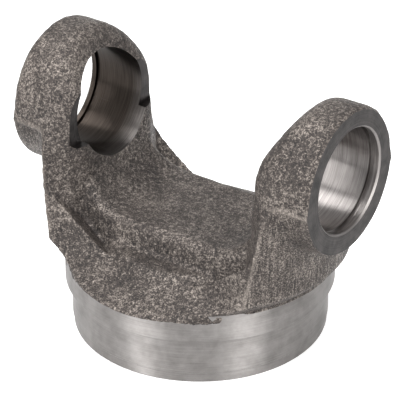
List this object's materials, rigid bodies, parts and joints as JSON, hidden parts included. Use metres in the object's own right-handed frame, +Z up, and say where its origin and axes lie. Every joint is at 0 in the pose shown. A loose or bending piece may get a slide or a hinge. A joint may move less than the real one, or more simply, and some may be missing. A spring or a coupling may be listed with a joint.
{
  "type": "driveshaft weld yoke",
  "caption": "Forged steel weld yoke: round turned hub that presses into a tube, and two ears with a cross bore and snap-ring grooves.",
  "frame": {"origin": "centre of the hub's bottom face, on the axis of the shaft", "axes": "+Z up the axis of the shaft towards the ears, +X along the axis of the cross bores"},
  "size_m": [0.1144, 0.0888, 0.0928],
  "materials": {
    "forged_steel": "as forged, with turned and milled faces"
  },
  "bodies": {
    "root": {"yoke": "forged_steel"}
  },
  "joints": []
}
